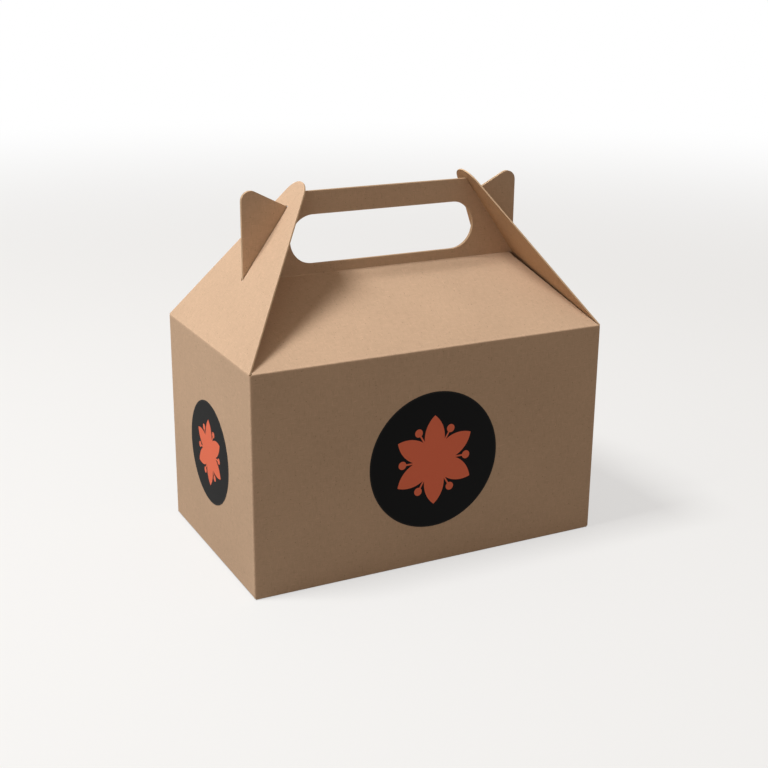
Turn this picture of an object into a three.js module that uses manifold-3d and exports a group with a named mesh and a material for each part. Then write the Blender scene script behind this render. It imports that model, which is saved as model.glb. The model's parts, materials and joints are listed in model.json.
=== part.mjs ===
// A kraft board gable box: one folded sheet with a carry handle, closed by two hooked end flaps.
// Sizes are millimetres and angles radians. X runs along the box, Y across it and Z up, with the
// front at -Y and the origin under the middle of the base.

import * as THREE from 'three';
import { mergeVertices } from 'three/addons/utils/BufferGeometryUtils.js';
import Module from 'manifold-3d';

const wasm = await Module();
wasm.setup();

// Board
const board = 0.8; // thickness of the card
const foldInside = 0.2; // inside radius of every fold
const foldOutside = foldInside + board;

// Box body
const boxLength = 216; // outside, from end wall to end wall
const boxWidth = 128; // outside, from front to back
const wallHeight = 127; // from the base to the roof's folds
const lapWidth = 15; // the glued strip that closes the sleeve, inside the back wall
const lapEdge = 0.4; // how far the back wall's cut edge stops short of the end wall

// Auto-lock bottom
const seamStep = 12; // how far each long flap reaches past the middle on one side
const seamSlant = 10; // half the length of the slanted step in the middle seam
const seamGap = 0.6;
const longFlapTaper = 2; // how much each end of a long flap runs in towards the seam
const endFlapReach = 46; // how far the glued inner flaps reach in from the end walls
const endFlapTaper = 34; // how much each side of an inner flap runs in over that reach

// Roof and carry handle
const roofRise = 32.2; // from the walls' top to the ridge
const gableInset = 22; // how far in from the end walls the ridge ends
const handleHeight = 46.4; // from the ridge to the handle's top edge
const plyGap = 0.3; // air between the handle's two plies
const handholdLength = 116;
const handholdHeight = 27.8;
const handholdDrop = 13; // board left above the handhold
const earTipRadius = 5.5; // rounding of the hooks outside the end flaps

// End flaps
const slotLength = 48; // slot that takes the hook, along the flap
const flapReach = 101.7; // from the fold to the rounded tip
const flapTipRadius = 13;
const flapFoldRelief = 0.2; // from the fold line to the flap's lower edge

// Round labels
const labelThickness = 0.15;
const printThickness = 0.05;
const frontLabelRadius = 40;
const endLabelRadius = 30;
const labelHeight = 62.5; // from the base to a label's centre
const petalCount = 6;
const petalShare = 0.66; // a petal's length, as a share of the label's radius
const petalSlimness = 0.24; // a petal's half width, as a share of its length
const hubShare = 0.15;
const stalkShare = 0.5;
const dotShare = 0.06;
const stalkWidth = 1;

// Clearances
const flapClearance = 0.3; // between an end flap and whatever it leans on or swings past
const slotEndClearance = 0.5; // at each end of a slot
const glueBite = 0.05; // how far two glued faces sink into each other, which makes them one body

// Derived sizes
const halfLength = boxLength / 2;
const halfWidth = boxWidth / 2;
const ridgeZ = wallHeight + roofRise;
const ridgeEndX = halfLength - gableInset;
const handleTopZ = ridgeZ + handleHeight;
const plyOuterY = plyGap / 2 + board; // outer face of a handle ply
const flapAngle = Math.atan2(roofRise, gableInset); // an end flap's lean, from the horizontal
const roofAngle = Math.atan2(roofRise, halfWidth - plyOuterY);
const wallFoldSetback = foldOutside * Math.tan((Math.PI / 2 - roofAngle) / 2);
const ridgeFoldSetback = foldInside * Math.tan((Math.PI / 2 - roofAngle) / 2);
const endWallTopZ = wallHeight - wallFoldSetback;
const earFootZ = ridgeZ + ridgeFoldSetback;
const slotStart = Math.hypot(gableInset, roofRise) - slotEndClearance; // along the flap
const slotEnd = slotStart + slotLength;
const notchReach = slotEnd - slotEndClearance; // from the fold to the bottom of the handle's notch
const slotWidth = 2 * plyOuterY + 2 * flapClearance;
const tipReach = notchReach - earTipRadius; // from the fold to the centre of a hook's rounding
const tipInset = gableInset + earTipRadius;
const earTip = new THREE.Vector2(
  halfLength - tipInset,
  wallHeight + Math.sqrt(tipReach ** 2 - tipInset ** 2),
);
const sheetTopZ = Math.max(handleTopZ, earTip.y + earTipRadius) + board; // before it is cut out

const foldSteps = 4; // facets round each fold
const cutSegments = 20; // facets along each arc of a cut outline
const printSegments = 6; // facets along each arc of the print

// Directions in an XZ outline at the +X end: up along the closed end flap, and out of the box
const upFlap = new THREE.Vector2(-Math.cos(flapAngle), Math.sin(flapAngle));
const offFlap = new THREE.Vector2(Math.sin(flapAngle), Math.cos(flapAngle));

// A point beside the +X end flap: reach is measured up from its fold, lift out of its outer face.
function besideFlap(reach, lift) {
  return new THREE.Vector2(halfLength, wallHeight)
    .addScaledVector(upFlap, reach)
    .addScaledVector(offFlap, lift);
}

// The point at height z on the line where roof and handle stop short of the closed end flap.
function gableEdge(z) {
  const foot = besideFlap(0, -board - flapClearance);
  const reach = (z - foot.y) / upFlap.y;
  return foot.addScaledVector(upFlap, reach);
}

// The angle on a circle at which a straight line from a point outside it touches it. side is +1
// for the touching point that lies anticlockwise of the point's own direction, and -1 for the other.
function touchAngle(point, centre, radius, side) {
  const away = point.clone().sub(centre);
  const angle = away.angle() + side * Math.acos(radius / away.length());
  return THREE.MathUtils.euclideanModulo(angle, 2 * Math.PI);
}

// Section of a folded sheet, from the corners of its outer face, which lies to the left of the way
// along them. Each inner corner becomes a fold with concentric arcs, and the ends are cut square.
function foldedSection(corners) {
  const outer = [];
  const inner = [];
  const last = corners.length - 1;
  const toRight = (way) => new THREE.Vector2(way.y, -way.x);
  corners.forEach((corner, i) => {
    const before = corner.clone().sub(corners[Math.max(i - 1, 0)]).normalize();
    const after = corners[Math.min(i + 1, last)].clone().sub(corner).normalize();
    if (i === 0 || i === last) {
      const way = i === 0 ? after : before;
      outer.push(corner);
      inner.push(corner.clone().addScaledVector(toRight(way), board));
      return;
    }
    const turn = Math.atan2(before.cross(after), before.dot(after));
    const rightTurn = turn < 0;
    const outerRadius = rightTurn ? foldOutside : foldInside;
    const innerRadius = rightTurn ? foldInside : foldOutside;
    const towardsCentre = toRight(before).multiplyScalar(rightTurn ? 1 : -1);
    const centre = corner
      .clone()
      .addScaledVector(before, -outerRadius * Math.tan(Math.abs(turn) / 2))
      .addScaledVector(towardsCentre, outerRadius);
    for (let step = 0; step <= foldSteps; step += 1) {
      const angle = (turn * step) / foldSteps;
      const spoke = towardsCentre.clone().negate().rotateAround(new THREE.Vector2(), angle);
      outer.push(centre.clone().addScaledVector(spoke, outerRadius));
      inner.push(centre.clone().addScaledVector(spoke, innerRadius));
    }
  });
  return new THREE.Shape([...outer, ...inner.reverse()]);
}

// Closed prism of an outline drawn in the plane of two axes, from one level to another along the
// third: 'XY' runs along Z, 'YZ' along X and 'XZ' along Y.
function prism(shape, plane, from, to, curveSegments = cutSegments) {
  const depth = to - from;
  const geometry = new THREE.ExtrudeGeometry(shape, { depth, bevelEnabled: false, curveSegments });
  if (plane === 'YZ') {
    geometry.rotateX(Math.PI / 2).rotateZ(Math.PI / 2).translate(from, 0, 0);
  } else if (plane === 'XZ') {
    geometry.rotateX(Math.PI / 2).translate(0, to, 0);
  } else {
    geometry.translate(0, 0, from);
  }
  return geometry;
}

// A closed geometry as a solid that can be joined and cut.
function toSolid(geometry) {
  const bare = geometry.clone();
  bare.deleteAttribute('normal');
  bare.deleteAttribute('uv');
  const welded = mergeVertices(bare, 1e-4);
  const vertProperties = welded.attributes.position.array;
  const triVerts = new Uint32Array(welded.index.array);
  return new wasm.Manifold(new wasm.Mesh({ numProp: 3, vertProperties, triVerts }));
}

// A solid as a geometry again.
function toGeometry(solid) {
  const { vertProperties, triVerts } = solid.getMesh();
  const geometry = new THREE.BufferGeometry();
  geometry.setAttribute('position', new THREE.BufferAttribute(vertProperties, 3));
  geometry.setIndex(new THREE.BufferAttribute(triVerts, 1));
  geometry.computeVertexNormals();
  return geometry;
}

function joined(geometries) {
  return geometries.map(toSolid).reduce((whole, piece) => whole.add(piece));
}

// The same geometry turned half round about Z, for the other side of the box.
function turnedRound(geometry) {
  return geometry.clone().rotateZ(Math.PI);
}

// Both halves of an outline that is the same left and right of the middle.
function mirroredShape(rightHalf) {
  const leftHalf = rightHalf.map((p) => new THREE.Vector2(-p.x, p.y)).reverse();
  return new THREE.Shape([...rightHalf, ...leftHalf]);
}

// Four walls, folded round from the back wall's cut edge to the end wall that carries the lap,
// and the lap itself, glued inside the back wall.
function sleeve() {
  const bottom = foldOutside;
  const walls = foldedSection([
    new THREE.Vector2(halfLength, 0),
    new THREE.Vector2(halfLength, -halfWidth),
    new THREE.Vector2(-halfLength, -halfWidth),
    new THREE.Vector2(-halfLength, halfWidth),
    new THREE.Vector2(halfLength - lapEdge, halfWidth),
  ]);
  const lapY = halfWidth - board + glueBite;
  const lap = foldedSection([
    new THREE.Vector2(halfLength - lapWidth, lapY),
    new THREE.Vector2(halfLength, lapY),
    new THREE.Vector2(halfLength, -lapWidth),
  ]);
  return [prism(walls, 'XY', bottom, endWallTopZ), prism(lap, 'XY', bottom, endWallTopZ)];
}

// Roof panel and handle ply of one side, which fold up out of the front wall.
function frontSheetSection() {
  return foldedSection([
    new THREE.Vector2(-halfWidth, wallHeight - 4 * foldOutside),
    new THREE.Vector2(-halfWidth, wallHeight),
    new THREE.Vector2(-plyOuterY, ridgeZ),
    new THREE.Vector2(-plyOuterY, sheetTopZ),
  ]);
}

// Cut outline of roof and handle, seen from the front: slanted gable ends, the hooks that stand
// outside the end flaps, the notches that the flaps' tips drop into, and the handhold.
function frontSheetOutline() {
  const wallX = halfLength - foldOutside;
  const wallFoot = wallHeight - 5 * foldOutside;
  const gableFoot = besideFlap(0, -board - flapClearance);
  const gableFootZ = gableFoot.y + ((wallX - gableFoot.x) / upFlap.x) * upFlap.y;
  const notchOuter = besideFlap(notchReach, flapClearance);
  const notchInner = besideFlap(notchReach, -board - flapClearance);
  const touch = touchAngle(notchOuter, earTip, earTipRadius, -1);
  const tipArc = new THREE.Path().absarc(earTip.x, earTip.y, earTipRadius, 0, touch, false);
  const rightHalf = [
    new THREE.Vector2(wallX, wallFoot),
    new THREE.Vector2(wallX, gableFootZ),
    gableEdge(earFootZ),
    new THREE.Vector2(ridgeEndX, earFootZ),
    ...tipArc.getPoints(cutSegments / 2),
    notchOuter,
    notchInner,
    gableEdge(handleTopZ),
  ];
  const outline = mirroredShape(rightHalf);
  const endRadius = handholdHeight / 2;
  const endX = handholdLength / 2 - endRadius;
  const midZ = handleTopZ - handholdDrop - endRadius;
  const handhold = new THREE.Path();
  handhold.absarc(endX, midZ, endRadius, -Math.PI / 2, Math.PI / 2, false);
  handhold.absarc(-endX, midZ, endRadius, Math.PI / 2, (3 * Math.PI) / 2, false);
  outline.holes.push(handhold);
  return outline;
}

function frontSheet() {
  const folded = prism(frontSheetSection(), 'YZ', -halfLength, halfLength);
  const cutter = prism(frontSheetOutline(), 'XZ', -halfWidth - board, board);
  return toGeometry(toSolid(folded).intersect(toSolid(cutter)));
}

// Long bottom flap of the front wall. Its edge steps across the middle, so that the same flap
// turned half round fills the rest of the base.
function longBottomFlap() {
  const section = foldedSection([
    new THREE.Vector2(seamStep + board, 0),
    new THREE.Vector2(-halfWidth, 0),
    new THREE.Vector2(-halfWidth, 4 * foldOutside),
  ]);
  const wallX = halfLength - foldOutside;
  const edge = -seamGap / 2;
  const outline = new THREE.Shape([
    new THREE.Vector2(-wallX, -halfWidth - board),
    new THREE.Vector2(wallX, -halfWidth - board),
    new THREE.Vector2(wallX, -halfWidth + foldOutside),
    new THREE.Vector2(wallX - longFlapTaper, edge - seamStep),
    new THREE.Vector2(seamSlant + edge, edge - seamStep),
    new THREE.Vector2(-seamSlant + edge, edge + seamStep),
    new THREE.Vector2(longFlapTaper - wallX, edge + seamStep),
    new THREE.Vector2(-wallX, -halfWidth + foldOutside),
  ]);
  const folded = prism(section, 'YZ', -halfLength, halfLength);
  const cutter = prism(outline, 'XY', -board, 5 * foldOutside);
  return toGeometry(toSolid(folded).intersect(toSolid(cutter)));
}

// Inner bottom flap of the +X end wall, glued on top of the two long flaps.
function endBottomFlap() {
  const baseZ = board - glueBite;
  const section = foldedSection([
    new THREE.Vector2(halfLength, 4 * foldOutside),
    new THREE.Vector2(halfLength, baseZ),
    new THREE.Vector2(halfLength - endFlapReach, baseZ),
  ]);
  const sideY = halfWidth - foldOutside;
  const tipY = sideY - endFlapTaper;
  const outline = new THREE.Shape([
    new THREE.Vector2(halfLength + board, -sideY),
    new THREE.Vector2(halfLength + board, sideY),
    new THREE.Vector2(halfLength - foldOutside, sideY),
    new THREE.Vector2(halfLength - endFlapReach, tipY),
    new THREE.Vector2(halfLength - endFlapReach, -tipY),
    new THREE.Vector2(halfLength - foldOutside, -sideY),
  ]);
  const folded = prism(section, 'XZ', -halfWidth, halfWidth);
  const cutter = prism(outline, 'XY', 0, 5 * foldOutside);
  return toGeometry(toSolid(folded).intersect(toSolid(cutter)));
}

function cartonGeometry() {
  const sheet = frontSheet();
  const longFlap = longBottomFlap();
  const endFlap = endBottomFlap();
  const pieces = [
    ...sleeve(),
    sheet,
    turnedRound(sheet),
    longFlap,
    turnedRound(longFlap),
    endFlap,
    turnedRound(endFlap),
  ];
  return toGeometry(joined(pieces));
}

// An end flap lying flat: x runs across the box and y from the fold to the tip, with the face that
// looks out of the closed box at z = 0.
function endFlapGeometry() {
  const baseHalf = halfWidth - flapClearance;
  const tip = new THREE.Vector2(0, flapReach - flapTipRadius);
  const corner = new THREE.Vector2(baseHalf, flapFoldRelief);
  const touch = touchAngle(corner, tip, flapTipRadius, 1);
  const outline = new THREE.Shape();
  outline.moveTo(-corner.x, corner.y);
  outline.lineTo(corner.x, corner.y);
  outline.absarc(tip.x, tip.y, flapTipRadius, touch, Math.PI - touch, false);
  const slot = new THREE.Path();
  const slotRadius = slotWidth / 2;
  slot.absarc(0, slotStart + slotRadius, slotRadius, Math.PI, 2 * Math.PI, false);
  slot.lineTo(slotRadius, slotEnd);
  slot.lineTo(-slotRadius, slotEnd);
  outline.holes.push(slot);
  return prism(outline, 'XY', -board, 0);
}

// The print on a label: six pointed petals round a hub, with a dot on a stalk between each two.
function rosetteGeometry(radius) {
  const petalLength = radius * petalShare;
  const petalHalfWidth = petalLength * petalSlimness;
  const stalkLength = radius * stalkShare;
  const dotRadius = radius * dotShare;
  const bow = (petalLength ** 2 / 4 + petalHalfWidth ** 2) / (2 * petalHalfWidth);
  const half = Math.asin(petalLength / 2 / bow);
  const middle = petalLength / 2;
  const rise = bow - petalHalfWidth;
  const hub = new THREE.Shape().absarc(0, 0, radius * hubShare, 0, 2 * Math.PI, false);
  const petal = new THREE.Shape();
  petal.absarc(middle, -rise, bow, Math.PI / 2 - half, Math.PI / 2 + half, false);
  petal.absarc(middle, rise, bow, 1.5 * Math.PI - half, 1.5 * Math.PI + half, false);
  const stalk = new THREE.Shape();
  stalk.moveTo(0, -stalkWidth / 2);
  stalk.lineTo(stalkLength, -stalkWidth / 2);
  stalk.lineTo(stalkLength, stalkWidth / 2);
  stalk.lineTo(0, stalkWidth / 2);
  const dot = new THREE.Shape().absarc(stalkLength, 0, dotRadius, 0, 2 * Math.PI, false);
  const raised = (shape) =>
    prism(shape, 'XY', labelThickness, labelThickness + printThickness, printSegments);
  const pieces = [raised(hub)];
  const turnStep = (2 * Math.PI) / petalCount;
  for (let i = 0; i < petalCount; i += 1) {
    const turn = Math.PI / 2 + i * turnStep;
    pieces.push(raised(petal).rotateZ(turn));
    pieces.push(raised(stalk).rotateZ(turn + turnStep / 2));
    pieces.push(raised(dot).rotateZ(turn + turnStep / 2));
  }
  return toGeometry(joined(pieces));
}

const matt = (color, roughness) =>
  new THREE.MeshStandardMaterial({ color, roughness, metalness: 0 });
const kraftBoard = () => matt(0xc3a07f, 0.85);
const blackPaper = () => matt(0x0b0a0b, 0.6);
const coralInk = () => matt(0xe0735a, 0.55);

function namedMesh(name, geometry, material) {
  const mesh = new THREE.Mesh(geometry, material);
  mesh.name = name;
  return mesh;
}

// An end flap in its closed place, hinged on the fold line along the top of the +X end wall.
function closedEndFlap(name) {
  const flap = namedMesh(name, endFlapGeometry(), kraftBoard());
  const across = new THREE.Vector3(0, 1, 0);
  const up = new THREE.Vector3(upFlap.x, 0, upFlap.y);
  const out = new THREE.Vector3(offFlap.x, 0, offFlap.y);
  flap.quaternion.setFromRotationMatrix(new THREE.Matrix4().makeBasis(across, up, out));
  flap.position.set(halfLength, 0, wallHeight);
  return flap;
}

// A round label with its print, standing on the wall that faces -Y at the given distance.
function label(name, radius, wallDistance) {
  const disc = new THREE.Shape().absarc(0, 0, radius, 0, 2 * Math.PI, false);
  const stack = new THREE.Group();
  stack.add(namedMesh(name, prism(disc, 'XY', 0, labelThickness), blackPaper()));
  stack.add(namedMesh(`${name}_print`, rosetteGeometry(radius), coralInk()));
  stack.rotation.x = Math.PI / 2;
  stack.position.set(0, -wallDistance, labelHeight);
  const placed = new THREE.Group();
  placed.add(stack);
  return placed;
}

const box = new THREE.Group();
box.add(namedMesh('carton', cartonGeometry(), kraftBoard()));
box.add(closedEndFlap('end_flap_right'));

const leftEnd = new THREE.Group();
leftEnd.rotation.z = Math.PI;
leftEnd.add(closedEndFlap('end_flap_left'));
box.add(leftEnd);

box.add(label('front_label', frontLabelRadius, halfWidth));

const leftWallLabel = label('end_label', endLabelRadius, halfLength);
leftWallLabel.rotation.z = -Math.PI / 2;
box.add(leftWallLabel);

export default box;
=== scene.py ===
"""Looks of a kraft board gable box: the folded sheet, its end flaps and its round labels."""

import json
import math
from types import SimpleNamespace

import bpy
import numpy as np
from bpy.props import FloatProperty, FloatVectorProperty, IntProperty, PointerProperty
from bpy.types import Operator, Panel, PropertyGroup
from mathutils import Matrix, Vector


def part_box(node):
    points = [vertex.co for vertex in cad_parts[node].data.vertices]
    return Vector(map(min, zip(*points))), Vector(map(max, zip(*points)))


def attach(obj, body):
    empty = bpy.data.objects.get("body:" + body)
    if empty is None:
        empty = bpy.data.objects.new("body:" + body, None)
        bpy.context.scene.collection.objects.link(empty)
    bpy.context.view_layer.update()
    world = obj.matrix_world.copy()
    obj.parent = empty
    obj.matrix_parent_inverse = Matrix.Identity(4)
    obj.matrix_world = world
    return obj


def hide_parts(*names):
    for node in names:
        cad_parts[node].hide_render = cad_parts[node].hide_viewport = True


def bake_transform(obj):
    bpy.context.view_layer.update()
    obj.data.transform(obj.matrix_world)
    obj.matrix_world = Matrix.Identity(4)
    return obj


bl_info = {
    "name": "Gable Box",
    "version": (1, 0, 0),
    "blender": (4, 5, 0),
    "location": "View3D > Sidebar > Gable Box",
    "description": "Builds the folded sheet, end flaps and labels of a kraft gable box",
    "category": "Object",
}

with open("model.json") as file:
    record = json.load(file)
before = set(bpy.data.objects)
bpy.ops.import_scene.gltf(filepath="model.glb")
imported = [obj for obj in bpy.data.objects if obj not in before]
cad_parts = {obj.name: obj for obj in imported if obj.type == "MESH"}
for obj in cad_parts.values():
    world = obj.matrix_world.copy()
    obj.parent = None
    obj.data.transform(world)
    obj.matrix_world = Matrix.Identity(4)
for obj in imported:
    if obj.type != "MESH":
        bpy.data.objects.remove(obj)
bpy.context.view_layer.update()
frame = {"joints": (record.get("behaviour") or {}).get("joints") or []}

MM = 0.001

# Spacing of a panel's points, and steps round a fold
PANEL_PITCH = 5 * MM
FOLD_STEPS = 6
# Rows of points kept close to a fold or a cut edge, so that wear stays beside it
EDGE_ROWS = np.array([0.4, 1.0, 2.0]) * MM
WORN_REACH = 1.0 * MM
# Wear inside the ridge fold and along the handle's foot, where little rubs
RIDGE_WEAR = 0.4
FOOT_WEAR = 0.3
# Points that fall in one cell of a grid with this many to the metre are welded
WELD_GRID = 1e7
# Lengths that differ by less are equal
NEAR = 1e-9
# Air between two layers of glued board
GLUE_LINE = 0.02 * MM
# Width of board about the handhold and about an end flap's slot, for the spacing of its points
HANDLE_RIM = 14 * MM
FLAP_RIM = 24 * MM
# Half length over which a handle ply bows
PLY_BOW_HALF = 55 * MM
# Where an end flap's straight edges would meet, as a share of its reach
FLAP_POINT = 1.14
# Where the board's pattern starts on each panel, so that no two show the same fibres
BACK_PATTERN = np.array([0.35, 0])
END_WALL_PATTERN = {1: 0.9, -1: 0.5}
INNER_FLAP_PATTERN = 1.2
END_FLAP_PATTERN = np.array([2.0, 0])
# Spacing of a label's rings, and its spokes
LABEL_PITCH = 2.5 * MM
LABEL_SPOKES = 96


def length_property(name, description, default):
    """A length in metres that a user can change."""
    return FloatProperty(
        name=name, description=description, default=default, unit="LENGTH", precision=5
    )


def colour_property(name, description, default):
    """A linear colour that a user can change."""
    return FloatVectorProperty(
        name=name, description=description, default=default, subtype="COLOR", size=3, min=0, max=1
    )


def place_property(name, description, default):
    """A place in metres that a user can change."""
    return FloatVectorProperty(
        name=name, description=description, default=default, subtype="TRANSLATION"
    )


def linear(red, green, blue):
    """A display colour from 0 to 255 as the linear values that a shader takes."""
    share = np.array([red, green, blue]) / 255
    low = share / 12.92
    high = ((share + 0.055) / 1.055) ** 2.4
    return tuple(np.where(share <= 0.04045, low, high))


class GableBoxBoard(PropertyGroup):
    """Sizes and colours of the board."""

    thickness: length_property("Board", "Thickness of the board", 0.8 * MM)
    fold_inside: length_property("Fold", "Inside radius of every fold", 0.2 * MM)
    roof_rise: length_property("Roof rise", "From the walls' top to the ridge", 32.2 * MM)
    gable_inset: length_property("Gable inset", "From an end wall in to the ridge's end", 22 * MM)
    handle_height: length_property("Handle", "From the ridge to the handle's top", 46.4 * MM)
    ply_gap: length_property("Ply gap", "Air between the handle's two plies", 0.3 * MM)
    handhold_length: length_property("Handhold length", "Length of the handhold", 116 * MM)
    handhold_height: length_property("Handhold height", "Height of the handhold", 27.8 * MM)
    handhold_drop: length_property("Handhold drop", "Board left above the handhold", 13 * MM)
    ear_radius: length_property("Hook tip", "Rounding of the hooks' tips", 5.5 * MM)
    slot_length: length_property("Slot", "Length of an end flap's slot", 48 * MM)
    flap_reach: length_property("Flap", "From an end flap's fold to its tip", 101.7 * MM)
    flap_tip_radius: length_property("Flap tip", "Rounding of an end flap's tip", 13 * MM)
    flap_relief: length_property("Flap relief", "From the fold to an end flap's edge", 0.2 * MM)
    clearance: length_property("Clearance", "Between an end flap and the roof", 0.3 * MM)
    slot_air: length_property("Slot air", "Between a slot's sides and the handle", 0.5 * MM)
    ridge_air: length_property("Ridge air", "Extra gap beside the roof at the ridge", 1.0 * MM)
    slot_end_clearance: length_property("Slot ends", "Clearance at a slot's ends", 0.5 * MM)
    lap_width: length_property("Glue lap", "Width of the glue lap", 15 * MM)
    lap_edge: length_property("Lap edge", "Step of the back wall's cut edge", 0.4 * MM)
    seam_step: length_property("Seam step", "Step of the bottom seam", 12 * MM)
    seam_slant: length_property("Seam slant", "Half length of the seam's slant", 10 * MM)
    seam_gap: length_property("Seam gap", "Gap of the bottom seam", 0.6 * MM)
    bottom_reach: length_property("Inner flap", "Reach of the inner bottom flaps", 46 * MM)
    bottom_taper: length_property("Inner taper", "Taper of the inner bottom flaps", 34 * MM)
    wall_bow: length_property("Wall bow", "Outward bow of the walls", 0.35 * MM)
    roof_bow: length_property("Roof bow", "Outward bow of the roof", 0.3 * MM)
    roof_sweep: length_property("Roof sweep", "How hard the roof turns up at the ridge", 8 * MM)
    flap_bow: length_property("Flap bow", "Outward bow of the end flaps", 0.6 * MM)
    ply_bow: length_property("Ply bow", "How far a handle ply stands off", 0.35 * MM)
    outside: colour_property("Outside", "Colour of the outer face", linear(198, 169, 142))
    inside: colour_property("Inside", "Colour of the inner face", linear(190, 158, 126))
    cut: colour_property("Cut edge", "Colour of the cut edges", linear(204, 175, 143))


class GableBoxLabels(PropertyGroup):
    """Sizes and colours of the round labels."""

    petals: IntProperty(name="Petals", description="Petals of the rosette", default=6, min=3)
    petal_share: FloatProperty(name="Petal", description="Share of the radius", default=0.66)
    slimness: FloatProperty(name="Slimness", description="Half width by length", default=0.24)
    hub_share: FloatProperty(name="Hub", description="Share of the radius", default=0.15)
    stalk_share: FloatProperty(name="Stalk", description="Share of the radius", default=0.5)
    dot_share: FloatProperty(name="Dot", description="Share of the radius", default=0.06)
    stalk_width: length_property("Stalk width", "Width of the stalks", 1 * MM)
    edge_round: length_property("Edge", "Rounding of the paper's edge", 0.1 * MM)
    paper: colour_property("Paper", "Colour of the black paper", linear(5, 5, 5))
    ink: colour_property("Ink", "Colour of the print", linear(236, 120, 90))


class GableBoxStage(PropertyGroup):
    """Camera, lamps and floor."""

    lens: FloatProperty(name="Lens", description="Focal length in millimetres", default=62.42)
    camera_place: place_property("Camera", "Place of the camera", (-0.33783, -0.66350, 0.33828))
    camera_turn: FloatVectorProperty(
        name="Turn", description="Rotation of the camera", subtype="EULER",
        default=tuple(math.radians(a) for a in (71.378, -0.487, -26.897)),
    )
    key: FloatProperty(name="Key", description="Key lamp in watts", default=26.0)
    key_size: length_property("Key size", "Side of the key lamp", 0.42)
    key_place: place_property("Key place", "Place of the key lamp", (-0.78, 0.07, 1.56))
    side: FloatProperty(name="Side", description="Side lamp in watts", default=2.6)
    side_size: length_property("Side size", "Side of the side lamp", 1.0)
    side_place: place_property("Side place", "Place of the side lamp", (-1.6, 0.35, 0.45))
    aim: place_property("Aim", "Where both lamps point", (0, 0, 0.09))
    sky: FloatProperty(name="Sky", description="Strength of the soft sky light", default=0.36)
    sky_colour: colour_property("Sky colour", "Colour of the soft sky light", (1, 0.83, 0.68))
    floor: colour_property("Floor", "Colour of the floor", (0.26, 0.26, 0.255))
    floor_reach: length_property("Floor reach", "From the middle to the floor's edges", 6.0)
    floor_drop: length_property("Floor drop", "How far the floor lies under the box", 0.05 * MM)
    glow: FloatProperty(name="Pale floor", description="White that the camera sees", default=0.6)
    fade_start: length_property("Fade start", "Where the floor begins to fade to white", 0.55)
    fade_end: length_property("Fade end", "Where the floor is white", 1.9)


def plan(board):
    """Named places of the closed box in metres, from the frame and the board's sizes."""
    half_length = frame["joints"][1]["pos_m"][0]
    wall_top = frame["joints"][1]["pos_m"][2]
    half_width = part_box("carton")[1].y
    ply_y = board.ply_gap / 2 + board.thickness
    rise = board.roof_rise
    flap_angle = math.atan2(rise, board.gable_inset)
    fold_turn = math.pi / 2 - math.atan2(rise, half_width - ply_y)
    outside = board.fold_inside + board.thickness
    slot_start = math.hypot(board.gable_inset, rise) - board.slot_end_clearance
    slot_end = slot_start + board.slot_length
    notch = slot_end - board.slot_end_clearance
    inset = board.gable_inset + board.ear_radius
    tip_reach = notch - board.ear_radius
    return SimpleNamespace(
        half_length=half_length,
        half_width=half_width,
        inner_x=half_length - outside,
        inner_y=half_width - outside,
        wall_top=wall_top,
        ridge=wall_top + rise,
        ridge_end=half_length - board.gable_inset,
        top=wall_top + rise + board.handle_height,
        ply_y=ply_y,
        outside=outside,
        fold_turn=fold_turn,
        end_top=wall_top - outside * math.tan(fold_turn / 2),
        foot=wall_top + rise + board.fold_inside * math.tan(fold_turn / 2),
        up=np.array([-math.cos(flap_angle), math.sin(flap_angle)]),
        off=np.array([math.sin(flap_angle), math.cos(flap_angle)]),
        slot_start=slot_start,
        slot_end=slot_end,
        slot_half=ply_y + board.slot_air,
        notch=notch,
        ear=np.array([half_length - inset, wall_top + math.sqrt(tip_reach**2 - inset**2)]),
    )


def beside_flap(p, reach, lift):
    """XZ point beside the +X end flap: reach up from its fold, lift out of its outer face."""
    return np.array([p.half_length, p.wall_top]) + reach * p.up + lift * p.off


def gable_x(p, board, z):
    """x at height z of the slanted line where roof and handle stop short of the end flap."""
    foot = beside_flap(p, 0, -board.thickness - board.clearance)
    return foot[0] + (z - foot[1]) * p.up[0] / p.up[1]


def roof_half(p, board, z):
    """Half width of the roof panel at height z, with its gap opening towards the ridge."""
    opening = np.clip((z - p.wall_top) / board.roof_rise, 0, 1)
    return gable_x(p, board, z) - board.ridge_air * opening


# Grids and sheets


def graded(start, stop, pitch, near_start=True, near_stop=True):
    """Values from start to stop at about the pitch, with EDGE_ROWS beside the chosen ends."""
    length = abs(stop - start)
    count = max(int(math.ceil(length / pitch)), 2)
    values = [np.linspace(0, length, count + 1)]
    rows = EDGE_ROWS[EDGE_ROWS < length / 2]
    if near_start:
        values.append(rows)
    if near_stop:
        values.append(length - rows)
    steps = np.unique(np.round(np.concatenate(values), 7))
    return start + np.sign(stop - start) * steps


def worn_by(distance):
    """Wear from 1 at a fold or cut edge down to 0 at WORN_REACH from it."""
    return np.clip(1 - np.abs(distance) / WORN_REACH, 0, 1)


def arc(centre, radius, start, turn, steps=FOLD_STEPS):
    """Points centre + radius (cos a, sin a), with a from start through turn."""
    a = start + np.linspace(0, turn, steps + 1)
    return np.asarray(centre) + radius * np.stack([np.cos(a), np.sin(a)], axis=-1)


def between(a, b, count, ends=True):
    """Points on the straight line from a to b, without its last one unless ends."""
    t = np.linspace(0, 1, count + 1)[:, None]
    line = np.asarray(a) + (np.asarray(b) - np.asarray(a)) * t
    return line if ends else line[:-1]


def mirrored(half):
    """Closed outline from its right half, which starts and ends on the middle line."""
    return np.concatenate([half, (half * np.array([-1, 1]))[-2:0:-1]])


def turned_round(points):
    """Points turned half round about Z."""
    return points * np.array([-1, -1, 1])


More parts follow.
